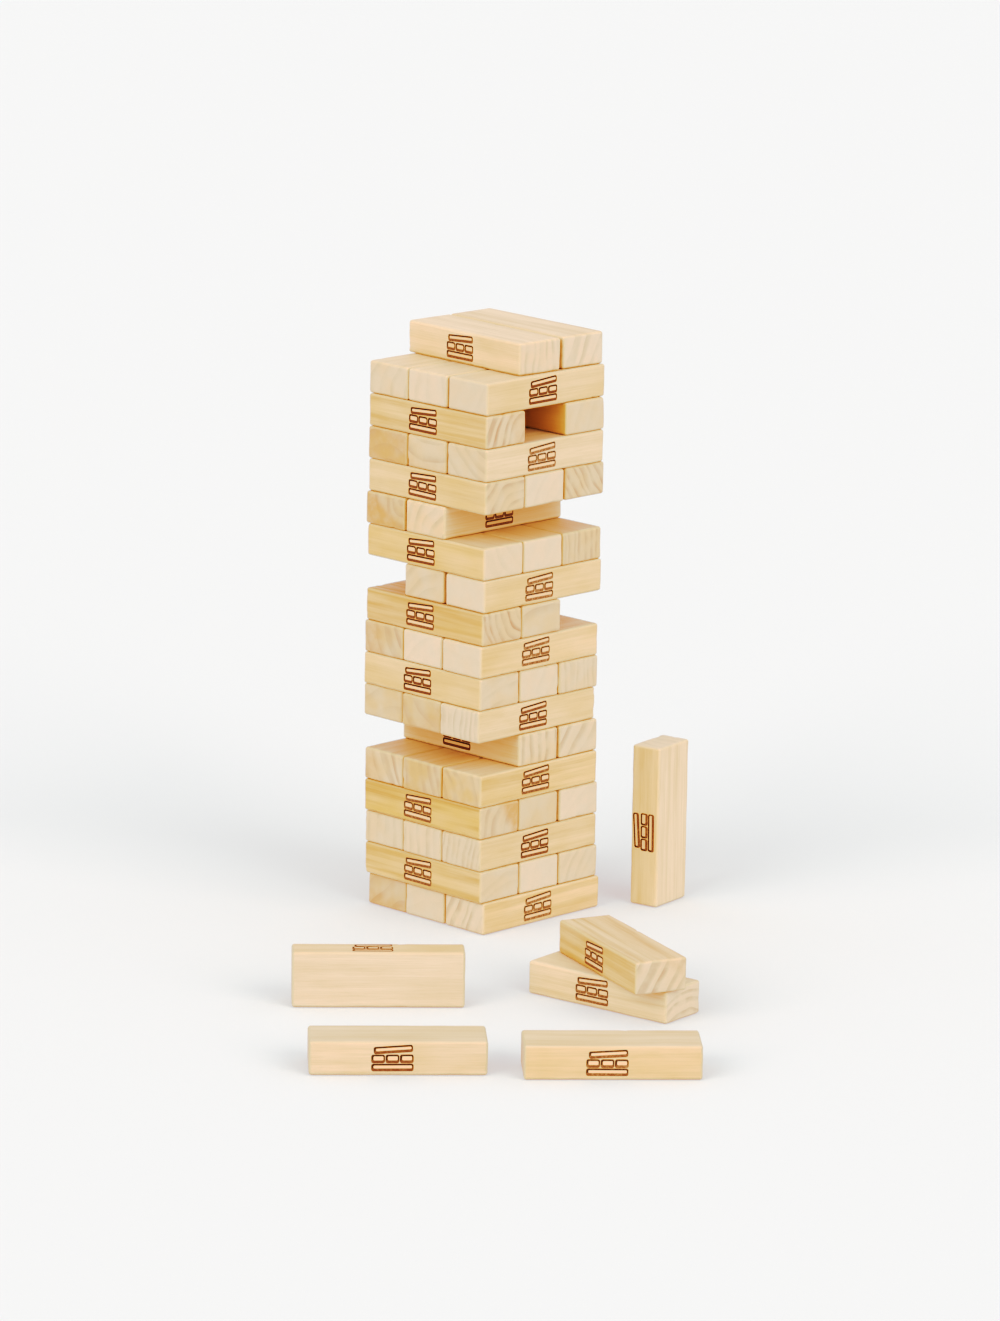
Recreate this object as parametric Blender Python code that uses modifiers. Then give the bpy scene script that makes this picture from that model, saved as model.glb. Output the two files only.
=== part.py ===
"""Giant tumbling tower: 54 equal wooden blocks, 48 still stacked in 18 layers and 6 drawn out beside them.

Units are metres, +Z is up, and the origin is the centre of the tower's footprint on the ground.
Odd layers hold three blocks lying along X, named front, middle and back from -Y to +Y.
Even layers hold three blocks lying along Y, named left, middle and right from -X to +X.
"""

import math
import random

import bpy

OBJECT_NAME = "giant_tumbling_tower"

# One block. Three widths with their play make up one length.
BLOCK_LENGTH = 0.1905
BLOCK_WIDTH = 0.0630
BLOCK_THICKNESS = 0.0375
EDGE_RADIUS = 0.0030
EDGE_SEGMENTS = 2

# The stack.
LAYER_COUNT = 18
RESTING_GAP = 0.0003
LAYER_PITCH = BLOCK_THICKNESS + RESTING_GAP
SLOT_PITCH = 0.0636

MILLIMETRE = 0.001
ODD_SLOTS = ("front", "middle", "back")
EVEN_SLOTS = ("left", "middle", "right")

# The slot that is empty in a layer, because its block has been drawn out.
DRAWN_OUT = {6: "left", 10: "right", 11: "back", 13: "front", 16: "middle", 18: "left"}

# How far each layer's three blocks have been pushed along their length, in millimetres.
PUSHED_MM = {
    1: (7, 7, 8),
    3: (1, 1, 2),
    5: (-1, -1, 0),
    7: (-4, -2, 0),
    8: (1, 1, 0),
    9: (-3, -2, -2),
    10: (-1, -1, 0),
    11: (1, 1, 0),
    13: (0, -1, -1),
    14: (0, 0, 1),
    15: (1, 1, 1),
    16: (1, 0, 0),
    17: (3, 3, 3),
    18: (0, 7.5, 6),
}

# How far each block has been nudged sideways out of its slot, in millimetres.
NUDGED_MM = {
    1: (-1, 0, 0),
    2: (2, 2.5, 3.5),
    4: (0, 0, 2.5),
    5: (-1, 0, 0),
    6: (0, -2, 0),
    7: (1, 1, 2.5),
    8: (-2, -1.3, -1.5),
    9: (-0.5, 0.5, 0.5),
    10: (-1.5, -1.5, 0),
    11: (-0.5, 2.5, 0),
    13: (0, 0, 1.5),
    14: (1, 1, 3.5),
    15: (0, 1.2, 1.2),
    16: (1.5, 0, 1.5),
    17: (2, 3, 2.8),
    18: (0, 2.4, 5.2),
}

# A small turn of a block about the vertical, in degrees.
TURNED_DEG = {"layer_18_middle": -3, "layer_18_right": -2}

# Drawn-out blocks: name, ground position of the centre, height of the underside, and the turns about
# X, Y and Z in degrees. A block lies flat with no turn, with its length along X and its width along Y.
LOOSE_BLOCKS = (
    ("loose_upright", (0.174, -0.122), 0, (0, -90, -79.6)),
    ("loose_on_edge", (-0.369, -0.213), 0, (-90, 0, -42.3)),
    ("loose_flat_left", (-0.523, -0.402), 0, (0, 0, -42.3)),
    ("loose_flat_right", (-0.365, -0.567), 0, (0, 0, -42.2)),
    ("loose_stack_lower", (-0.174, -0.386), 0, (0, 0, -83)),
    ("loose_stack_upper", (-0.171, -0.395), LAYER_PITCH, (0, 0, -109.6)),
)

# Pale, close-grained wood. Each block is cut from a slightly different piece of it.
WOOD_COLOUR = (0.76, 0.58, 0.34)
WOOD_TONE_SPREAD = 0.06
WOOD_ROUGHNESS = 0.55
TONE_SEED = 18


def clear_scene():
    for existing in list(bpy.data.objects):
        bpy.data.objects.remove(existing, do_unlink=True)


def new_collection(name):
    collection = bpy.data.collections.new(name)
    bpy.context.scene.collection.children.link(collection)
    return collection


def wood_material(name, tone):
    """Plain wood whose colour is the common one times a tone close to 1."""
    material = bpy.data.materials.new(name)
    material.use_nodes = True
    shader = material.node_tree.nodes["Principled BSDF"]
    shader.inputs["Base Color"].default_value = [channel * tone for channel in WOOD_COLOUR] + [1.0]
    shader.inputs["Roughness"].default_value = WOOD_ROUGHNESS
    shader.inputs["Metallic"].default_value = 0.0
    return material


def block_mesh():
    """A sharp-edged block centred on its own origin, with its real size in the mesh."""
    bpy.ops.mesh.primitive_cube_add(size=1.0, location=(0.0, 0.0, 0.0))
    blank = bpy.context.object
    blank.scale = (BLOCK_LENGTH, BLOCK_WIDTH, BLOCK_THICKNESS)
    bpy.ops.object.transform_apply(location=False, rotation=False, scale=True)
    mesh = blank.data.copy()
    mesh.name = "block"
    mesh.shade_smooth()
    bpy.data.objects.remove(blank, do_unlink=True)
    return mesh


def add_block(name, mesh, centre, turns, collection, parent, tones):
    """One rounded block of its own, with its origin at its centre, on its joint's axis."""
    block_data = mesh.copy()
    block_data.name = name
    block_data.materials.append(wood_material(name + "_wood", 1 + WOOD_TONE_SPREAD * tones.uniform(-1, 1)))
    block = bpy.data.objects.new(name, block_data)
    collection.objects.link(block)
    block.parent = parent
    block.location = centre
    block.rotation_euler = [math.radians(turn) for turn in turns]
    rounding = block.modifiers.new("rounded_edges", "BEVEL")
    rounding.width = EDGE_RADIUS
    rounding.segments = EDGE_SEGMENTS
    rounding.limit_method = "NONE"
    rounding.harden_normals = True
    return block


def stacked_blocks():
    """Name, centre and turns of every block that is still in the tower, from the bottom up."""
    for layer in range(1, LAYER_COUNT + 1):
        lies_along_x = layer % 2 == 1
        slots = ODD_SLOTS if lies_along_x else EVEN_SLOTS
        height = (layer - 1) * LAYER_PITCH + BLOCK_THICKNESS / 2
        pushed = PUSHED_MM.get(layer, (0, 0, 0))
        nudged = NUDGED_MM.get(layer, (0, 0, 0))
        for index, slot in enumerate(slots):
            if DRAWN_OUT.get(layer) == slot:
                continue
            name = f"layer_{layer:02d}_{slot}"
            along = pushed[index] * MILLIMETRE
            across = (index - 1) * SLOT_PITCH + nudged[index] * MILLIMETRE
            turn = TURNED_DEG.get(name, 0)
            if lies_along_x:
                yield name, (along, across, height), (0, 0, turn)
            else:
                yield name, (across, along, height), (0, 0, turn - 90)


def resting_height(turns):
    """Height of a block's centre above what it rests on: half of whichever side stands upright."""
    if turns[1]:
        return BLOCK_LENGTH / 2
    if turns[0]:
        return BLOCK_WIDTH / 2
    return BLOCK_THICKNESS / 2


def loose_blocks():
    """Name, centre and turns of the blocks that have been drawn out of the tower."""
    for name, (x, y), underside, turns in LOOSE_BLOCKS:
        yield name, (x, y, underside + resting_height(turns)), turns


def build():
    clear_scene()
    collection = new_collection(OBJECT_NAME)
    origin = bpy.data.objects.new("tower_origin", None)
    collection.objects.link(origin)
    tones = random.Random(TONE_SEED)
    mesh = block_mesh()
    for name, centre, turns in (*stacked_blocks(), *loose_blocks()):
        add_block(name, mesh, centre, turns, collection, origin, tones)


build()
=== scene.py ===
"""Looks of the giant tumbling tower: worn, rounded blocks of pale wood, with their grain and a stamp on each.

Lengths are metres unless a name says MM. Each block is drawn in a frame of its own: X runs along its length,
Y across its width and Z through its thickness, and the stamp is on the long narrow side that faces -Y.
"""

import math
import random
from collections import namedtuple

import bpy
import numpy as np
from mathutils import Matrix, Vector, noise


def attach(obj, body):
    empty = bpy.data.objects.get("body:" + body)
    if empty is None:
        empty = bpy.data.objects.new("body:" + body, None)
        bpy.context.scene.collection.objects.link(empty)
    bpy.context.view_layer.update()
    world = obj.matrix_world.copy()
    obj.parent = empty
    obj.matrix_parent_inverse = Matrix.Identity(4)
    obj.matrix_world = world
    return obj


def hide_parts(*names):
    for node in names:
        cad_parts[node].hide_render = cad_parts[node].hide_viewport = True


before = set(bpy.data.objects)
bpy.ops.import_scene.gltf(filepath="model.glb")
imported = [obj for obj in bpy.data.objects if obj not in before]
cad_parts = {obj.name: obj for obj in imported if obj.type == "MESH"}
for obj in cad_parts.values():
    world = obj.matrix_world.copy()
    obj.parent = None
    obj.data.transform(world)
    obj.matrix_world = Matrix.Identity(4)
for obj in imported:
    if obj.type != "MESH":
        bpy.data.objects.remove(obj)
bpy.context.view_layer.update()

MM = 0.001

# ---------------------------------------------------------------- the shape of a block

EDGE_RADIUS = 3.0 * MM
GRID_STEP = 4.0 * MM
LEAST_GRID_STEPS = 3
ROUNDING_STEPS = 3

# Wear, always inwards: the edges are rubbed down unevenly, and have a few small dents. The level is what the
# rubbing adds to its noise, and the field is how far that noise may be moved from block to block.
RUBBED_DEPTH = 0.7 * MM
RUBBED_LENGTH = 22.0 * MM
RUBBED_LEVEL = 0.25
RUBBED_FIELD = 50
DENTS_PER_BLOCK = 5
DENT_REACH = (3.5 * MM, 7.0 * MM)
DENT_DEPTH = (0.4 * MM, 1.1 * MM)

# Facing along an axis starts at this part of the outward direction, and is complete after this much more.
FACING_FROM = 0.35
FACING_RANGE = 0.5

# The stamp is on the long narrow side that is nearer to the first direction, with its top towards the second.
STAMP_FACES = Vector((-1, -1, 0.5))
STAMP_TOP = Vector((0, 1, 5))

# ---------------------------------------------------------------- how each block was cut from its log

# lean      direction of the ring lines on the end that is seen, in degrees anticlockwise from level
# pith      distance in mm from the block's middle to the log's core, at right angles to the ring lines
# spacing   mm from ring to ring
# rings     strength of the ring lines
# tone      lightness, where 1 is the common tone
# side      warmth of the long sides, from cream (0 or less) to honey (1)
# end       warmth of the ends, from pale (0) to tan (1)
# streaks   strength of the lengthwise streaks
# stain     a browner part of the log: its strength, the direction on the seen end in which it lies, and how
#           far from the middle it starts, in mm
Cut = namedtuple("Cut", "lean pith spacing rings tone side end streaks stain", defaults=((0, 0, 0),))

CUTS = {
    "layer_01_front": Cut(64, 170, 12, 0.90, 1.07, 0.37, 0.27, 0.7, (0.35, -80, 12)),
    "layer_01_middle": Cut(20, 150, 18, 0.15, 1.00, 0.30, 0.12, 0.3),
    "layer_01_back": Cut(35, 60, 21, 0.80, 0.96, 0.60, 0.65, 0.5, (0.45, -100, 2)),
    "layer_02_left": Cut(15, 120, 14, 0.25, 1.00, 0.66, 0.33, 1.2),
    "layer_02_middle": Cut(80, 200, 17, 0.08, 1.02, 0.30, 0.00, 0.3),
    "layer_02_right": Cut(50, 120, 13, 0.30, 1.00, 0.35, 0.20, 0.3),
    "layer_03_front": Cut(80, 140, 8, 0.60, 1.01, 0.28, 0.38, 0.4),
    "layer_03_middle": Cut(90, 250, 12, 0.45, 1.01, 0.25, 0.22, 0.3),
    "layer_03_back": Cut(92, 250, 13, 0.45, 1.00, 0.30, 0.33, 0.3),
    "layer_04_left": Cut(62, 80, 14, 0.65, 0.98, 0.90, 0.40, 1.8, (0.95, 30, 6)),
    "layer_04_middle": Cut(60, 200, 20, 0.08, 0.99, 0.55, 0.47, 0.3),
    "layer_04_right": Cut(30, 200, 20, 0.08, 1.01, 0.20, 0.00, 0.3),
    "layer_05_front": Cut(113, -90, 13, 0.75, 1.03, 0.52, 0.92, 0.7, (0.25, 200, 14)),
    "layer_05_middle": Cut(100, 220, 12, 0.70, 0.97, 0.85, 0.85, 0.5),
    "layer_05_back": Cut(110, 180, 16, 0.90, 0.99, 0.85, 0.48, 0.4, (0.40, 210, 6)),
    # Painted light: this block's low side warmth lightens its long side beside the empty slot, which lies in
    # shade.
    "layer_06_middle": Cut(88, 300, 12, 0.95, 1.05, 0.00, 0.48, 0.5),
    "layer_06_right": Cut(58, 160, 18, 0.75, 1.01, 0.30, 0.20, 0.4),
    "layer_07_front": Cut(90, 300, 9, 0.55, 0.99, 0.25, 0.08, 0.4),
    "layer_07_middle": Cut(138, 110, 21, 0.55, 0.98, 0.50, 0.95, 0.4, (0.30, -60, 4)),
    "layer_07_back": Cut(20, 45, 20, 0.30, 0.99, 0.40, 0.68, 0.4),
    "layer_08_left": Cut(18, 160, 16, 0.35, 1.00, 0.45, 0.40, 0.4),
    "layer_08_middle": Cut(60, 180, 18, 0.08, 1.01, 0.20, 0.12, 0.3),
    "layer_08_right": Cut(90, 260, 9, 0.45, 1.00, 0.25, 0.34, 0.3),
    "layer_09_front": Cut(0, 200, 20, 0.08, 1.02, 0.35, 0.20, 0.5),
    "layer_09_middle": Cut(40, 200, 20, 0.10, 1.03, 0.20, 0.05, 0.3),
    "layer_09_back": Cut(112, 190, 16, 0.95, 0.96, 0.70, 0.68, 0.4, (0.50, 180, -4)),
    "layer_10_left": Cut(118, 46, 10, 1.30, 0.98, 0.58, 0.50, 1.3, (0.30, 225, 8)),
    "layer_10_middle": Cut(10, 60, 22, 0.50, 0.98, 0.55, 0.45, 0.4),
    "layer_11_front": Cut(70, 180, 20, 0.06, 1.00, 0.38, 0.10, 0.4),
    "layer_11_middle": Cut(30, 160, 18, 0.40, 0.99, 0.40, 0.42, 0.3),
    "layer_12_left": Cut(130, 160, 16, 0.15, 1.00, 0.74, 0.15, 0.7),
    # Painted shade: the high side warmth of these two blocks warms their tops, seen in the gap above them, to
    # the orange of the shaded recess.
    "layer_12_middle": Cut(60, 200, 18, 0.06, 1.01, 0.90, 0.06, 0.3),
    "layer_12_right": Cut(91, 240, 9, 0.80, 0.97, 0.90, 0.55, 0.4),
    # Painted light: the side warmth below zero and the high tone lighten this block's set-back long side,
    # which lies in shade.
    "layer_13_middle": Cut(60, 60, 14, 0.70, 1.08, -0.25, 0.50, 0.4),
    "layer_13_back": Cut(115, 30, 13, 0.90, 0.95, 0.85, 0.85, 0.6, (0.90, 235, -6)),
    "layer_14_left": Cut(35, 55, 12, 0.90, 0.99, 0.50, 0.47, 0.4),
    "layer_14_middle": Cut(60, 180, 18, 0.10, 1.01, 0.20, 0.06, 0.3),
    "layer_14_right": Cut(125, 200, 9, 1.10, 0.98, 0.45, 0.58, 0.4, (0.45, 180, 22)),
    "layer_15_front": Cut(130, 110, 16, 0.45, 0.98, 0.00, 0.42, 0.2),
    "layer_15_middle": Cut(172, 90, 18, 0.90, 1.01, 0.20, 0.57, 0.4, (0.30, -95, 6)),
    "layer_15_back": Cut(5, 70, 17, 0.95, 0.96, 0.75, 0.85, 0.6, (0.62, -90, -30)),
    "layer_16_left": Cut(62, 120, 13, 1.30, 0.99, 0.54, 0.37, 1.2, (0.45, 20, 2)),
    "layer_16_right": Cut(80, 160, 17, 0.12, 0.99, 1.00, 0.38, 0.3),
    "layer_17_front": Cut(60, 200, 18, 0.10, 0.98, 0.30, 0.22, 0.3),
    "layer_17_middle": Cut(95, 150, 18, 0.25, 1.01, 0.30, 0.10, 0.3),
    "layer_17_back": Cut(75, 60, 16, 0.35, 1.01, 0.30, 0.35, 0.3),
    "layer_18_middle": Cut(91, 220, 10, 0.55, 1.04, 0.00, 0.25, 0.4),
    "layer_18_right": Cut(56, 160, 16, 0.50, 1.03, 0.10, 0.08, 0.6),
    "loose_upright": Cut(80, 140, 12, 0.25, 1.05, 0.36, 0.00, 0.5),
    "loose_on_edge": Cut(70, 160, 21, 0.10, 0.96, 0.20, 0.10, 0.3),
    "loose_flat_left": Cut(80, 150, 18, 0.15, 0.94, 0.10, 0.20, 0.4),
    "loose_flat_right": Cut(60, 150, 18, 0.15, 0.96, 0.42, 0.20, 0.5),
    "loose_stack_lower": Cut(5, 60, 10, 0.80, 1.03, 0.05, 0.10, 0.4),
    "loose_stack_upper": Cut(57, 140, 14, 1.00, 0.99, 0.62, 0.25, 1.1, (0.30, 60, 10)),
}

GRAIN_SEED = 54

# The most slope of the grain against the block, the length of log in which the blocks lie, the width of a
# stain's soft edge, and the most slope of a stain along the block.
GRAIN_RUN_OUT = 0.03
LOG_LENGTH_MM = 4000
STAIN_BLUR_MM = 9
STAIN_SLOPE = 0.04

# ---------------------------------------------------------------- patterns in the wood

# scale      how fast the noise changes along the grain and in the two directions across it, per mm, or per
#            ring for the rings' own noise
# detail     and roughness are those of Blender's noise
# shows      how much of the pattern shows at each level of the noise
Pattern = namedtuple("Pattern", "scale detail roughness shows")
NOISE_MIDDLE = 0.5

WOOD_PATTERNS = {
    "threads": Pattern((0.012, 0.9, 0.9), 3.0, 0.6, ((0.35, 0.0), (0.70, 1.0))),
    "streaks": Pattern((0.0035, 0.10, 0.10), 3.0, 0.55, ((0.38, 0.0), (0.68, 1.0))),
    "clouds": Pattern((0.012, 0.03, 0.03), 2.0, 0.5, ((0.35, 0.0), (0.65, 1.0))),
    "pores": Pattern((0.6, 1.3, 1.3), 3.0, 0.65, ((0.4, 0.0), (0.7, 1.0))),
    "flecks": Pattern((0.05, 1.9, 1.9), 2.0, 0.55, ((0.56, 0.0), (0.72, 1.0))),
    "blotches": Pattern((0.01, 0.09, 0.09), 3.0, 0.6, ((0.32, 0.55), (0.62, 1.0))),
}

# The rings depend on the two directions across the log only.
ACROSS_THE_LOG = (0.0, 1.0, 1.0)

# Darkness from one ring to the next: the early wood is clear, and darkens slowly to a line of late wood.
RING_PROFILE = ((0.0, 0.10), (0.30, 0.0), (0.78, 0.80), (0.90, 1.0), (1.0, 0.10))

# The rings are bent out of round, unevenly spaced, stronger in some years, and stronger in some places.
RING_BEND = Pattern((0.004, 0.26, 0.26), 1.0, 0.5, None)
RING_BEND_BY = (0.0, 1.5, 1.5)
RING_SPACING = Pattern(0.8, 1.0, 0.5, None)
RING_SPACING_BY = 1.3
RING_YEARS = Pattern(0.55, 1.0, 0.5, ((0.30, 0.45), (0.65, 1.0)))
RING_PLACES = Pattern((0.02, 0.5, 0.5), 3.0, 0.5, ((0.32, 0.2), (0.62, 1.0)))

# How far each pattern darkens the long sides, and the ends.
SIDE_DARKENING = {"streaks": 0.50, "rings": 0.26, "threads": 0.14, "flecks": 0.16, "clouds": 0.06}
END_DARKENING = {"rings": 0.80, "pores": 0.10, "blotches": 0.08}

# How far these change the colour: clouds of warmth on the sides and of grey on the ends, the tint of the
# broad sides, the stain, and the painted shade along the edges that dims their highlights.
CLOUD_WARMTH = 0.9
CLOUD_GREY = 0.45
BROAD_SHARE = 0.60
STAIN_SHARE = 0.85
EDGE_SHADE_SHARE = 0.50

# Roughness of the wood: of the smoothest side, what the threads add, and what an end adds.
WOOD_ROUGHNESS = 0.46
THREAD_ROUGHNESS = 0.16
END_ROUGHNESS = 0.12
WOOD_SPECULAR = 0.3

# Relief of the wood: threads with sunken flecks on the sides, pores on the ends, and raised rings on both.
FLECK_RELIEF = 0.4
PORE_RELIEF = 1.2
RING_RELIEF = 0.5
RELIEF_STRENGTH = 0.35
RELIEF_DEPTH = 0.25 * MM

# ---------------------------------------------------------------- the stamp

# The stamp is set off the block's middle, along its length. It stands a hair proud and reaches into the wood.
STAMP_SET_BACK = -6.5 * MM
STAMP_SIZE = (45.0 * MM, 28.0 * MM)
STAMP_HEIGHT = 0.12 * MM
STAMP_SINK = 0.3 * MM

# The line round each bar, which is thicker at the foot and set a little sideways, and the bars' corners.
STAMP_LINE = 2.0 * MM
STAMP_SHADE = 3.2 * MM
STAMP_SIDE_SHADE = 0.4 * MM
STAMP_CORNER = 2.3 * MM
CORNER_STEPS = 4

# Part of a bar's height, from its middle down, below which its outline is in the redder ink.
RED_BELOW = 0.25

# No stamp is quite in its place, straight or evenly printed: the most drift, tilt in degrees, and wear.
STAMP_DRIFT = 0.6 * MM
STAMP_TILT = 1.0
STAMP_WEAR = (0.0, 0.4)

# The picture is a little stack of bars, seen from its side. Each has its middle and its size, both as a share
# of the stamp, and its tilt in degrees.
STAMP_BARS = (
    ((0.000, -0.350), (1.00, 0.300), 0),
    ((-0.338, -0.010), (0.324, 0.345), 0),
    ((0.000, -0.010), (0.324, 0.345), 0),
    ((0.338, -0.010), (0.324, 0.345), 0),
    ((0.020, 0.360), (0.930, 0.290), 3.5),
)

# ---------------------------------------------------------------- colours, camera and light

SIDE_CREAM = (0.715, 0.550, 0.325)
SIDE_HONEY = (0.642, 0.395, 0.140)
SIDE_STREAK = (0.500, 0.270, 0.092)
BROAD_TINT = (0.695, 0.578, 0.385)
END_PALE = (0.700, 0.547, 0.358)
END_TAN = (0.597, 0.364, 0.138)
END_GREY = (0.640, 0.535, 0.370)
END_RING = (0.400, 0.262, 0.140)
STAIN_BROWN = (0.560, 0.290, 0.110)
# Painted shade: the rounded edges are darkened towards this colour to dim their highlights.
EDGE_PAINTED_SHADE = (0.600, 0.485, 0.250)

# Each ink with its colour, and how far wear lets the wood through.
INKS = {
    "ink_dark": ((0.034, 0.016, 0.006), 0.5),
    "ink_red": ((0.115, 0.048, 0.018), 0.9),
    "ink_tan": ((0.70, 0.465, 0.245), 0.6),
}

# A stamp's material slots, in the order of INKS.
DARK_SLOT, RED_SLOT, TAN_SLOT = 0, 1, 2

# The patches in which the ink is worn, and the ink's finish.
INK_PATCHES_PER_METRE = 420.0
INK_PATCH_DETAIL = 3.0
INK_PATCH_ROUGHNESS = 0.6
INK_PATCH_SHOWS = ((0.42, 0.25), (0.72, 1.0))
INK_ROUGHNESS = 0.45
INK_ROUGHNESS_SPREAD = 0.2
INK_SPECULAR = 0.3

CAMERA_PLACE = Vector((-5.2445, -5.2180, 2.0370))
CAMERA_AZIMUTH = -45.303
CAMERA_PITCH = 13.263
CAMERA_ROLL = 0.947
CAMERA_LENS_MM = 179.6
CAMERA_REACH = 100.0

# The floor lies just clear of the blocks' undersides.
FLOOR_SIZE = 80.0
FLOOR_DROP = 0.4 * MM
FLOOR_COLOUR = (0.553, 0.549, 0.550)
FLOOR_GLOW = 0.222
FLOOR_ROUGHNESS = 0.9
WHITE = (1.0, 1.0, 1.0)

# The sky is brighter on the side that the last vector points to.
SKY_FRONT = 1.06
SKY_BACK = 0.70
SKY_FACES = Vector((-0.62, -0.62, 0.85))

# Two soft lights: name, azimuth in degrees and strength. They share their height, spread and colour.
KEY_LIGHTS = (("left_softbox", -90, 1.20), ("right_softbox", 0, 1.20))
KEY_ELEVATION = 30
KEY_SPREAD = 40
KEY_COLOUR = (1.0, 0.985, 0.96)

# How light becomes tone. The curve for all colours deepens the deepest tones, lifts the middle ones and
# softens the brightest. Those for red, green and blue make the deep and middle tones warmer. The keys are
# Blender's own numbers for its curves.
ALL_COLOURS, RED, GREEN, BLUE = 3, 0, 1, 2
TONE_CURVES = {
    ALL_COLOURS: ((0.06, 0.038), (0.25, 0.285), (0.52, 0.545), (0.80, 0.752), (1.0, 0.985)),
    RED: ((0.15, 0.180), (0.42, 0.575), (0.76, 0.764), (1.0, 1.0)),
    GREEN: ((0.06, 0.042), (0.22, 0.208), (0.40, 0.392), (0.60, 0.605), (1.0, 1.0)),
    BLUE: ((0.08, 0.045), (0.18, 0.150), (0.30, 0.300), (1.0, 1.0)),
}


# ================================================================ geometry of the blocks


def block_frame(node):
    """Centre, axes and half sizes of a block, read from its CAD solid. The stamped side faces -Y."""
    points = np.array([v.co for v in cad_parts[node].data.vertices])
    centre = (points.min(axis=0) + points.max(axis=0)) / 2
    from_centre = points - centre
    _, axes = np.linalg.eigh(from_centre.T @ from_centre)
    width_axis = Vector(axes[:, 1])
    thickness_axis = Vector(axes[:, 0])
    if width_axis.dot(STAMP_FACES) > 0:
        width_axis.negate()
    if thickness_axis.dot(STAMP_TOP) < 0:
        thickness_axis.negate()
    length_axis = width_axis.cross(thickness_axis)
    turn = Matrix((length_axis, width_axis, thickness_axis)).transposed()
    half = np.abs(from_centre @ np.array(turn)).max(axis=0)
    return Vector(centre), turn, half


def grid_stops(half):
    """Stops of the surface grid along one axis: even across the flat, closer round the edges."""
    flat = half - EDGE_RADIUS
    steps = max(LEAST_GRID_STEPS, round(2 * flat / GRID_STEP))
    across = np.linspace(-flat, flat, steps + 1)
    angles = np.radians(45) * np.arange(1, ROUNDING_STEPS + 1) / ROUNDING_STEPS
    beyond = flat + EDGE_RADIUS * np.tan(angles)
    return np.concatenate((-beyond[::-1], across, beyond))


def box_grid(half):
    """Points and faces of a box's surface, with the grid of grid_stops on each side."""
    stops = [grid_stops(h) for h in half]
    last = [len(s) - 1 for s in stops]
    index, points, faces = {}, [], []

    def point(key):
        if key not in index:
            index[key] = len(points)
            points.append([stops[axis][key[axis]] for axis in range(3)])
        return index[key]

    for axis in range(3):
        u, v = (axis + 1) % 3, (axis + 2) % 3
        for end in (0, last[axis]):
            for i in range(last[u]):
                for j in range(last[v]):
                    corners = []
                    for du, dv in ((0, 0), (1, 0), (1, 1), (0, 1)):
                        key = [0, 0, 0]
                        key[axis], key[u], key[v] = end, i + du, j + dv
                        corners.append(point(tuple(key)))
                    faces.append(corners if end else corners[::-1])
    return np.array(points), faces


def round_off(points, half):
    """Pulls the box's edges onto the rounding. Returns the points and their outward directions."""
    core = np.clip(points, EDGE_RADIUS - half, half - EDGE_RADIUS)
    outward = points - core
    outward /= np.linalg.norm(outward, axis=1)[:, None]
    return core + outward * EDGE_RADIUS, outward


def edge_share(outward):
    """How much of an edge each point is: 0 on the flat, 1 in the middle of a rounded edge or at a corner."""
    second = np.sort(np.abs(outward), axis=1)[:, 1]
    return np.clip(second / math.sin(math.radians(45)), 0, 1)


def facing_share(outward, axis):
    """How much each point faces along an axis, either way: 0 to 1, with a soft change round the edges."""
    return np.clip((np.abs(outward[:, axis]) - FACING_FROM) / FACING_RANGE, 0, 1)


def wear(points, outward, half, dice):
    """Rubs the edges down and dents them here and there, moving points inwards only."""
    edge = edge_share(outward)
    where = Vector([dice.uniform(-RUBBED_FIELD, RUBBED_FIELD) for _ in range(3)])
    depth = np.zeros(len(points))
    for i in np.nonzero(edge > 0)[0]:
        rub = noise.noise(Vector(points[i]) / RUBBED_LENGTH + where)
        depth[i] = edge[i] * RUBBED_DEPTH * max(0.0, RUBBED_LEVEL + rub)
    for _ in range(DENTS_PER_BLOCK):
        along = dice.choice((0, 1, 2))
        spot = np.array([h * dice.choice((-1, 1)) for h in half])
        spot[along] = dice.uniform(-half[along], half[along])
        reach = dice.uniform(*DENT_REACH)
        deepest = dice.uniform(*DENT_DEPTH)
        near = np.clip(1 - (np.linalg.norm(points - spot, axis=1) / reach) ** 2, 0, 1)
        depth += deepest * near**2
    return points - outward * depth[:, None]


def seen_end_of(name):
    """The end of a block that is seen from the front: -1 or 1 along its length."""
    is_odd_layer = name.startswith("layer_") and int(name.split("_")[1]) % 2 == 1
    return -1 if is_odd_layer else 1


def stain_share(points, name, dice):
    """How stained each point is, 0 to 1: a browner part of the log runs along one side of the block."""
    strength, direction, start = CUTS[name].stain
    angle = math.radians(direction)
    toward = points[:, 1] * seen_end_of(name) * math.cos(angle) + points[:, 2] * math.sin(angle)
    drift = dice.uniform(-STAIN_SLOPE, STAIN_SLOPE) * points[:, 0]
    return strength * np.clip((toward + drift) / MM / STAIN_BLUR_MM - start / STAIN_BLUR_MM, 0, 1)


def log_coordinates(points, half, name, dice):
    """Where each point lay in the log, with distances across the log counted in rings."""
    cut = CUTS[name]
    seen_end = seen_end_of(name)
    to_pith = math.radians(cut.lean - 90)
    pith_y = seen_end * cut.pith * math.cos(to_pith)
    pith_z = cut.pith * math.sin(to_pith)
    run_out = [dice.uniform(-GRAIN_RUN_OUT, GRAIN_RUN_OUT) for _ in range(2)]
    from_seen_end = points[:, 0] / MM - seen_end * half[0] / MM
    along = points[:, 0] / MM + dice.uniform(0, LOG_LENGTH_MM)
    across_y = points[:, 1] / MM - pith_y + run_out[0] * from_seen_end
    across_z = points[:, 2] / MM - pith_z + run_out[1] * from_seen_end
    return np.column_stack((along, across_y / cut.spacing, across_z / cut.spacing))


def add_attribute(mesh, name, values):
    """Stores a vector for each point of the mesh, for its material to read."""
    attribute = mesh.attributes.new(name, "FLOAT_VECTOR", "POINT")
    attribute.data.foreach_set("vector", np.asarray(values, np.float32).ravel())


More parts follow.
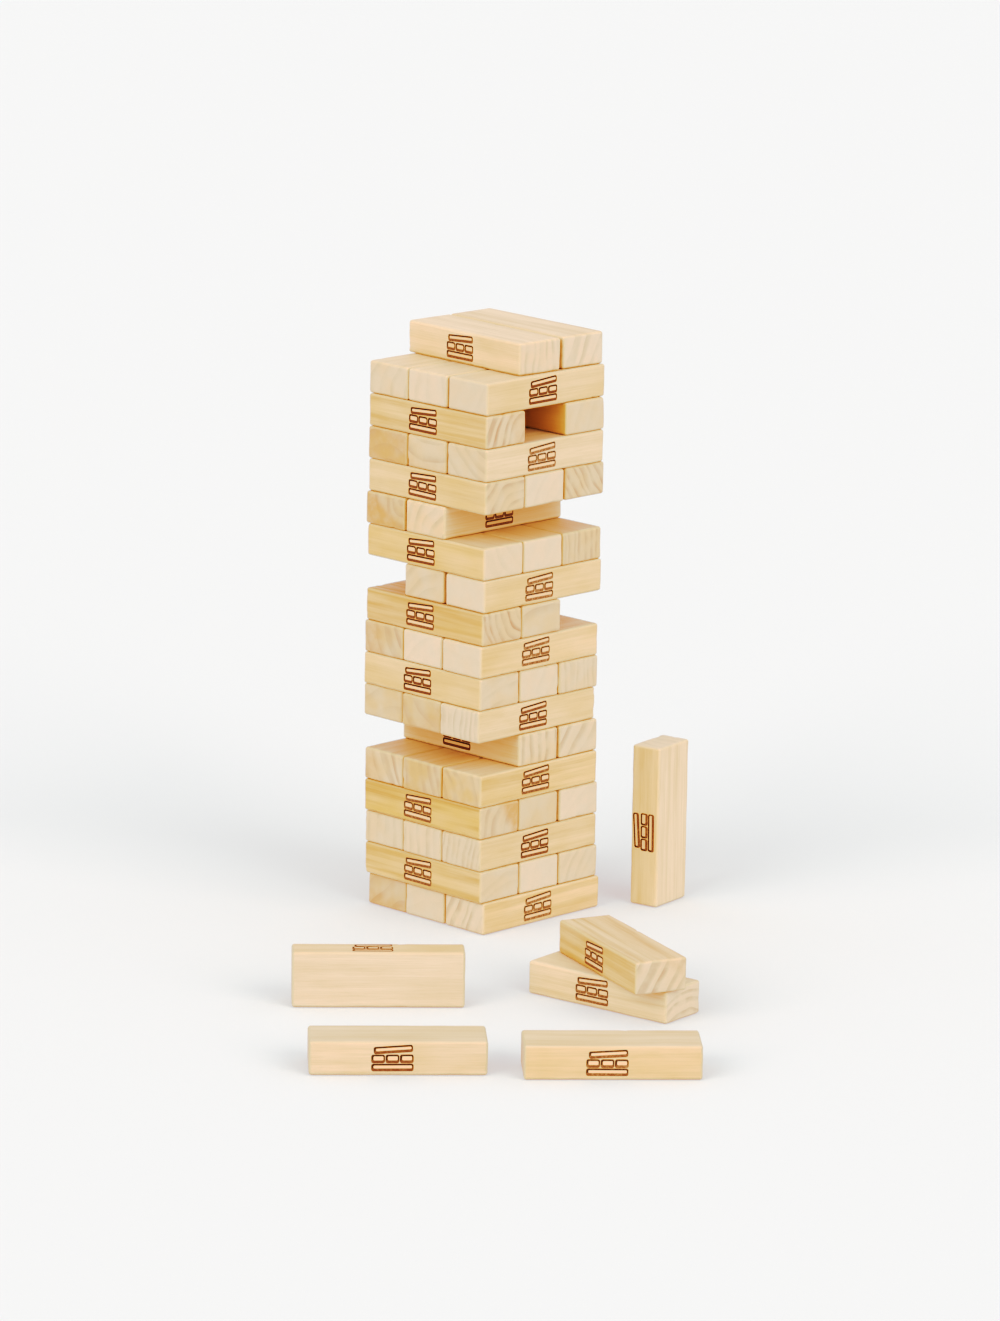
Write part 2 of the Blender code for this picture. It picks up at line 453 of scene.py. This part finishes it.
def block_mesh(node, turn, half, dice):
    """The mesh of one worn block about its centre, with all that its material needs stored on its points."""
    box_points, faces = box_grid(half)
    points, outward = round_off(box_points, half)
    cut = CUTS[node]
    rings = log_coordinates(points, half, node, dice)
    offset = [dice.uniform(0, LOG_LENGTH_MM) for _ in range(3)]
    stain = stain_share(points, node, dice)
    worn = wear(points, outward, half, dice)
    turned = worn @ np.array(turn).T

    mesh = bpy.data.meshes.new("wood_" + node)
    mesh.from_pydata(turned.tolist(), [], faces)
    mesh.update()
    mesh.shade_smooth()
    count = len(points)
    strengths = np.tile((cut.rings, cut.streaks), (count, 1))
    facing = (facing_share(outward, 0), facing_share(outward, 2), edge_share(outward))
    add_attribute(mesh, "rings", rings)
    add_attribute(mesh, "fibre", points / MM + offset)
    add_attribute(mesh, "look", np.tile((cut.tone, cut.side, cut.end), (count, 1)))
    add_attribute(mesh, "grain", np.column_stack((strengths, stain)))
    add_attribute(mesh, "faces", np.column_stack(facing))
    return mesh


def add_block(node, materials):
    """One worn block in the place of its CAD node, with the stamp on it."""
    dice = random.Random(f"{GRAIN_SEED} {node}")
    centre, turn, half = block_frame(node)
    mesh = block_mesh(node, turn, half, dice)
    mesh.materials.append(materials["wood"])
    block = bpy.data.objects.new("wood_" + node, mesh)
    bpy.context.scene.collection.objects.link(block)
    block.location = centre
    shading = block.modifiers.new("flat_sides", "WEIGHTED_NORMAL")
    shading.keep_sharp = False
    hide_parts(node)
    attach(block, node)
    add_stamp(node, block, turn, half, materials, dice)


# ================================================================ the stamp


def rounded_rectangle(width, height, radius):
    """Outline of a rounded rectangle about the origin, anticlockwise."""
    outline = []
    for quarter, (sx, sy) in enumerate(((1, 1), (-1, 1), (-1, -1), (1, -1))):
        for step in range(CORNER_STEPS + 1):
            angle = math.radians(90 * (quarter + step / CORNER_STEPS))
            x = sx * (width / 2 - radius) + radius * math.cos(angle)
            y = sy * (height / 2 - radius) + radius * math.sin(angle)
            outline.append((x, y))
    return outline


def bar_outlines(width, height):
    """A bar's own outline, and that of the pale face inside its line, which is thicker along the foot."""
    outer = rounded_rectangle(width, height, STAMP_CORNER)
    inner_width = width - 2 * STAMP_LINE
    inner_height = height - STAMP_LINE - STAMP_SHADE
    inner = rounded_rectangle(inner_width, inner_height, STAMP_CORNER - STAMP_LINE / 2)
    lift = (STAMP_SHADE - STAMP_LINE) / 2
    return outer, [(x + STAMP_SIDE_SHADE, y + lift) for x, y in inner]


def add_bar(points, faces, slots, middle, size, tilt):
    """One outlined bar of the stamp: a closed thin plate with a pale face and a line round it."""
    outer, inner = bar_outlines(*size)
    cos = math.cos(math.radians(tilt))
    sin = math.sin(math.radians(tilt))
    count, first = len(outer), len(points)
    for outline, height in ((outer, -STAMP_SINK), (outer, STAMP_HEIGHT), (inner, STAMP_HEIGHT)):
        for x, y in outline:
            points.append((middle[0] + x * cos - y * sin, middle[1] + x * sin + y * cos, height))
    top = first + count
    face = top + count
    for i in range(count):
        j = (i + 1) % count
        is_foot = (outer[i][1] + outer[j][1]) / 2 < -RED_BELOW * size[1]
        faces.append((first + i, first + j, top + j, top + i))
        slots.append(DARK_SLOT)
        faces.append((top + i, top + j, face + j, face + i))
        slots.append(RED_SLOT if is_foot else DARK_SLOT)
    faces.append([face + i for i in range(count)])
    slots.append(TAN_SLOT)
    faces.append([first + i for i in reversed(range(count))])
    slots.append(DARK_SLOT)


def add_stamp(node, block, turn, half, materials, dice):
    """The printed picture on the block's long narrow side. It goes with the block."""
    points, faces, slots = [], [], []
    drift = Vector((dice.uniform(-1, 1), dice.uniform(-1, 1), 0)) * STAMP_DRIFT
    askew = Matrix.Rotation(math.radians(dice.uniform(-STAMP_TILT, STAMP_TILT)), 3, "Z")
    for (x, y), (width, height), tilt in STAMP_BARS:
        middle = (x * STAMP_SIZE[0], y * STAMP_SIZE[1])
        size = (width * STAMP_SIZE[0], height * STAMP_SIZE[1])
        add_bar(points, faces, slots, middle, size, tilt)
    printed = [askew @ Vector(point) + drift for point in points]
    placed = [turn @ Vector((x + STAMP_SET_BACK, -half[1] - z, y)) for x, y, z in printed]
    mesh = bpy.data.meshes.new("stamp_" + node)
    mesh.from_pydata(placed, [], faces)
    for name in INKS:
        mesh.materials.append(materials[name])
    mesh.polygons.foreach_set("material_index", slots)
    add_attribute(mesh, "print", np.tile((dice.uniform(*STAMP_WEAR), 0, 0), (len(points), 1)))
    mesh.update()
    stamp = bpy.data.objects.new("stamp_" + node, mesh)
    bpy.context.scene.collection.objects.link(stamp)
    stamp.parent = block


# ================================================================ materials

# Blender's own numbers for the mix node's sockets for colours.
MIX_SHARE, MIX_FIRST, MIX_SECOND, MIX_COLOUR = 0, 6, 7, 2


class Tree:
    """A material's nodes, added and linked with one short call each."""

    def __init__(self, name):
        self.material = bpy.data.materials.new(name)
        self.material.use_nodes = True
        self.tree = self.material.node_tree
        self.shader = self.tree.nodes["Principled BSDF"]

    def node(self, kind, **settings):
        made = self.tree.nodes.new(kind)
        for name, value in settings.items():
            setattr(made, name, value)
        return made

    def feed(self, socket, value):
        if isinstance(value, bpy.types.NodeSocket):
            self.tree.links.new(value, socket)
        elif isinstance(value, tuple) and len(socket.default_value) == 4:
            socket.default_value = (*value, 1.0)
        else:
            socket.default_value = value

    def attribute(self, name):
        """A vector that is stored on the mesh, and its three parts."""
        read = self.node("ShaderNodeAttribute", attribute_name=name)
        parts = self.node("ShaderNodeSeparateXYZ")
        self.feed(parts.inputs[0], read.outputs["Vector"])
        return read.outputs["Vector"], parts.outputs[0], parts.outputs[1], parts.outputs[2]

    def math(self, operation, a, b=0.0, third=0.0, clamp=False):
        made = self.node("ShaderNodeMath", operation=operation, use_clamp=clamp)
        for socket, value in zip(made.inputs, (a, b, third)):
            self.feed(socket, value)
        return made.outputs[0]

    def scaled(self, vector, scale):
        made = self.node("ShaderNodeVectorMath", operation="MULTIPLY")
        self.feed(made.inputs[0], vector)
        made.inputs[1].default_value = scale
        return made.outputs[0]

    def noise(self, vector, scale, detail, roughness):
        """Noise as one value, and as a vector of three."""
        made = self.node("ShaderNodeTexNoise")
        self.feed(made.inputs["Vector"], vector)
        made.inputs["Scale"].default_value = scale
        made.inputs["Detail"].default_value = detail
        made.inputs["Roughness"].default_value = roughness
        return made.outputs["Fac"], made.outputs["Color"]

    def pattern_noise(self, vector, pattern):
        """The noise of a pattern, as noise gives it. Its scale is one number, or one for each direction."""
        if isinstance(pattern.scale, tuple):
            return self.noise(self.scaled(vector, pattern.scale), 1.0, pattern.detail, pattern.roughness)
        return self.noise(vector, pattern.scale, pattern.detail, pattern.roughness)

    def curve(self, value, stops):
        """A value bent through the given stops."""
        made = self.node("ShaderNodeValToRGB")
        self.feed(made.inputs[0], value)
        ramp = made.color_ramp
        ramp.interpolation = "EASE"
        while len(ramp.elements) < len(stops):
            ramp.elements.new(1.0)
        for element, (place, level) in zip(ramp.elements, stops):
            element.position = place
            element.color = (level, level, level, 1.0)
        return made.outputs[0]

    def mix(self, share, a, b, kind="MIX"):
        made = self.node("ShaderNodeMix", data_type="RGBA", blend_type=kind)
        self.feed(made.inputs[MIX_SHARE], share)
        self.feed(made.inputs[MIX_FIRST], a)
        self.feed(made.inputs[MIX_SECOND], b)
        return made.outputs[MIX_COLOUR]


def bent_rings(tree, rings):
    """The place in the log, with the rings bent a little out of round."""
    _, shift = tree.pattern_noise(rings, RING_BEND)
    centred = tree.node("ShaderNodeVectorMath", operation="SUBTRACT")
    tree.feed(centred.inputs[0], shift)
    centred.inputs[1].default_value = (NOISE_MIDDLE,) * 3
    bent = tree.node("ShaderNodeVectorMath", operation="ADD")
    tree.feed(bent.inputs[0], tree.scaled(centred.outputs[0], RING_BEND_BY))
    tree.feed(bent.inputs[1], rings)
    return bent.outputs[0]


def ring_lines(tree, rings):
    """Dark late-wood lines, 0 to 1, from the distance to the pith counted in rings."""
    across = tree.scaled(bent_rings(tree, rings), ACROSS_THE_LOG)
    length = tree.node("ShaderNodeVectorMath", operation="LENGTH")
    tree.feed(length.inputs[0], across)
    distance = length.outputs["Value"]
    year = tree.node("ShaderNodeCombineXYZ")
    tree.feed(year.inputs[0], distance)
    uneven, _ = tree.pattern_noise(year.outputs[0], RING_SPACING)
    distance = tree.math("ADD", distance, tree.math("MULTIPLY", uneven, RING_SPACING_BY))
    lines = tree.curve(tree.math("FRACT", distance), RING_PROFILE)
    strong, _ = tree.pattern_noise(year.outputs[0], RING_YEARS)
    lines = tree.math("MULTIPLY", lines, tree.curve(strong, RING_YEARS.shows))
    patchy, _ = tree.pattern_noise(rings, RING_PLACES)
    return tree.math("MULTIPLY", lines, tree.curve(patchy, RING_PLACES.shows))


def weighted_sum(tree, shares, weights):
    """The sum of the named shares times their weights, held between 0 and 1."""
    total = 0.0
    for name, weight in weights.items():
        total = tree.math("MULTIPLY_ADD", shares[name], weight, third=total)
    return tree.math("ADD", total, 0.0, clamp=True)


def side_colour(tree, noises, shares, warmth, broad):
    """Colour of the long sides: cream to honey in soft clouds, darker along the grain."""
    cloudy = tree.math("SUBTRACT", noises["clouds"], NOISE_MIDDLE)
    warmth = tree.math("MULTIPLY_ADD", cloudy, CLOUD_WARMTH, third=warmth)
    colour = tree.mix(tree.math("ADD", warmth, 0.0, clamp=True), SIDE_CREAM, SIDE_HONEY)
    colour = tree.mix(tree.math("MULTIPLY", broad, BROAD_SHARE), colour, BROAD_TINT)
    return tree.mix(weighted_sum(tree, shares, SIDE_DARKENING), colour, SIDE_STREAK)


def end_colour(tree, shares, warmth):
    """Colour of the ends: pale to tan with grey clouds, and darker at the rings and pores."""
    colour = tree.mix(warmth, END_PALE, END_TAN)
    colour = tree.mix(tree.math("MULTIPLY", shares["clouds"], CLOUD_GREY), colour, END_GREY)
    return tree.mix(weighted_sum(tree, shares, END_DARKENING), colour, END_RING)


def grey_of(tree, value):
    """A grey of the given lightness."""
    grey = tree.node("ShaderNodeCombineColor")
    for socket in grey.inputs:
        tree.feed(socket, value)
    return grey.outputs[0]


def wood_relief(tree, noises, shares, end):
    """A fine bump: threads and flecks on the sides, pores on the ends, and rings on both."""
    height = tree.math("SUBTRACT", noises["threads"], tree.math("MULTIPLY", shares["flecks"], FLECK_RELIEF))
    height = tree.math("MULTIPLY", height, tree.math("SUBTRACT", 1.0, end))
    pores = tree.math("MULTIPLY", noises["pores"], end)
    height = tree.math("ADD", height, tree.math("MULTIPLY", pores, PORE_RELIEF))
    height = tree.math("ADD", height, tree.math("MULTIPLY", shares["rings"], RING_RELIEF))
    bump = tree.node("ShaderNodeBump")
    bump.inputs["Strength"].default_value = RELIEF_STRENGTH
    bump.inputs["Distance"].default_value = RELIEF_DEPTH
    tree.feed(bump.inputs["Height"], height)
    return bump.outputs[0]


def wood_material():
    """Pale wood: warm and streaked along the grain, paler and ringed across it, with painted shade along the
    edges that dims their highlights.
    """
    tree = Tree("pale_wood")
    rings, _, _, _ = tree.attribute("rings")
    fibre, _, _, _ = tree.attribute("fibre")
    _, tone, side_warmth, end_warmth = tree.attribute("look")
    _, ring_strength, streak_strength, stain_strength = tree.attribute("grain")
    _, end, broad, edge = tree.attribute("faces")

    noises, shares = {}, {}
    for name, pattern in WOOD_PATTERNS.items():
        noises[name], _ = tree.pattern_noise(fibre, pattern)
        shares[name] = tree.curve(noises[name], pattern.shows)
    shares["rings"] = tree.math("MULTIPLY", ring_lines(tree, rings), ring_strength)
    shares["streaks"] = tree.math("MULTIPLY", shares["streaks"], streak_strength)
    stained = tree.math("MULTIPLY", stain_strength, shares["blotches"])

    side = side_colour(tree, noises, shares, side_warmth, broad)
    colour = tree.mix(end, side, end_colour(tree, shares, end_warmth))
    colour = tree.mix(tree.math("MULTIPLY", stained, STAIN_SHARE), colour, STAIN_BROWN)
    # Painted shade along the rounded edges, to dim their highlights.
    colour = tree.mix(tree.math("MULTIPLY", edge, EDGE_SHADE_SHARE), colour, EDGE_PAINTED_SHADE)
    colour = tree.mix(1.0, colour, grey_of(tree, tone), "MULTIPLY")
    tree.feed(tree.shader.inputs["Base Color"], colour)

    rough = tree.math("ADD", tree.math("MULTIPLY", noises["threads"], THREAD_ROUGHNESS), WOOD_ROUGHNESS)
    rough = tree.math("ADD", rough, tree.math("MULTIPLY", end, END_ROUGHNESS))
    tree.feed(tree.shader.inputs["Roughness"], rough)
    tree.shader.inputs["Specular IOR Level"].default_value = WOOD_SPECULAR
    tree.feed(tree.shader.inputs["Normal"], wood_relief(tree, noises, shares, end))
    return tree.material


def ink_material(name, colour, worn):
    """Ink printed on wood: it thins out in patches, where the wood's tone comes through."""
    tree = Tree(name)
    _, faded, _, _ = tree.attribute("print")
    place = tree.node("ShaderNodeTexCoord").outputs["Object"]
    patches, _ = tree.noise(place, INK_PATCHES_PER_METRE, INK_PATCH_DETAIL, INK_PATCH_ROUGHNESS)
    share = tree.math("MULTIPLY", tree.curve(patches, INK_PATCH_SHOWS), faded)
    share = tree.math("MULTIPLY", share, worn)
    rough = tree.math("ADD", tree.math("MULTIPLY", patches, INK_ROUGHNESS_SPREAD), INK_ROUGHNESS)
    tree.feed(tree.shader.inputs["Base Color"], tree.mix(share, colour, SIDE_CREAM))
    tree.feed(tree.shader.inputs["Roughness"], rough)
    tree.shader.inputs["Specular IOR Level"].default_value = INK_SPECULAR
    return tree.material


def floor_material():
    """A plain pale floor that glows a little, so that it runs into the sky behind it."""
    tree = Tree("pale_floor")
    tree.shader.inputs["Base Color"].default_value = (*FLOOR_COLOUR, 1.0)
    tree.shader.inputs["Emission Color"].default_value = (*WHITE, 1.0)
    tree.shader.inputs["Emission Strength"].default_value = FLOOR_GLOW
    tree.shader.inputs["Roughness"].default_value = FLOOR_ROUGHNESS
    tree.shader.inputs["Specular IOR Level"].default_value = 0.0
    return tree.material


# ================================================================ floor, light and camera


def add_floor():
    bpy.ops.mesh.primitive_plane_add(size=FLOOR_SIZE, location=(0, 0, -FLOOR_DROP))
    floor = bpy.context.object
    floor.name = "floor"
    floor.data.materials.append(floor_material())


def add_sky():
    """An even white tent of light that is a little dimmer behind the tower."""
    world = bpy.data.worlds.new("studio")
    world.use_nodes = True
    tree = world.node_tree
    direction = tree.nodes.new("ShaderNodeTexCoord")
    facing = tree.nodes.new("ShaderNodeVectorMath")
    facing.operation = "DOT_PRODUCT"
    facing.inputs[1].default_value = SKY_FACES.normalized()
    strength = tree.nodes.new("ShaderNodeMapRange")
    strength.inputs["From Min"].default_value = -1.0
    strength.inputs["To Min"].default_value = SKY_BACK
    strength.inputs["To Max"].default_value = SKY_FRONT
    tree.links.new(direction.outputs["Generated"], facing.inputs[0])
    tree.links.new(facing.outputs["Value"], strength.inputs["Value"])
    sky = tree.nodes["Background"]
    sky.inputs["Color"].default_value = (*WHITE, 1.0)
    tree.links.new(strength.outputs[0], sky.inputs["Strength"])
    bpy.context.scene.world = world


def add_sun(name, azimuth, strength):
    """A large soft light, far away at the given azimuth from -Y towards +X."""
    light = bpy.data.lights.new(name, "SUN")
    light.energy = strength
    light.angle = math.radians(KEY_SPREAD)
    light.color = KEY_COLOUR
    lamp = bpy.data.objects.new(name, light)
    bpy.context.scene.collection.objects.link(lamp)
    lamp.rotation_euler = (math.radians(90 - KEY_ELEVATION), 0, math.radians(azimuth))


def set_tones():
    """Sets the tone curves of the view."""
    view = bpy.context.scene.view_settings
    view.view_transform = "Standard"
    view.use_curve_mapping = True
    for channel, stops in TONE_CURVES.items():
        curve = view.curve_mapping.curves[channel]
        for light, tone in stops[:-1]:
            curve.points.new(light, tone)
        curve.points[len(curve.points) - 1].location = stops[-1]
    view.curve_mapping.update()


def add_camera():
    """The camera at the photo's viewing angle."""
    azimuth, pitch, roll = (math.radians(a) for a in (CAMERA_AZIMUTH, CAMERA_PITCH, CAMERA_ROLL))
    back_x = math.sin(azimuth) * math.cos(pitch)
    back_y = -math.cos(azimuth) * math.cos(pitch)
    back = Vector((back_x, back_y, math.sin(pitch)))
    level = Vector((0, 0, 1)).cross(back).normalized()
    upward = back.cross(level)
    right = math.cos(roll) * level + math.sin(roll) * upward
    up = -math.sin(roll) * level + math.cos(roll) * upward
    camera = bpy.data.objects.new("camera", bpy.data.cameras.new("camera"))
    bpy.context.scene.collection.objects.link(camera)
    camera.matrix_world = Matrix.Translation(CAMERA_PLACE) @ Matrix((right, up, back)).transposed().to_4x4()
    camera.data.lens = CAMERA_LENS_MM
    camera.data.clip_end = CAMERA_REACH
    bpy.context.scene.camera = camera


def main():
    materials = {"wood": wood_material()}
    for name, (colour, worn) in INKS.items():
        materials[name] = ink_material(name, colour, worn)
    for node in sorted(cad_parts):
        add_block(node, materials)
    add_floor()
    add_sky()
    for name, azimuth, strength in KEY_LIGHTS:
        add_sun(name, azimuth, strength)
    add_camera()
    set_tones()


main()
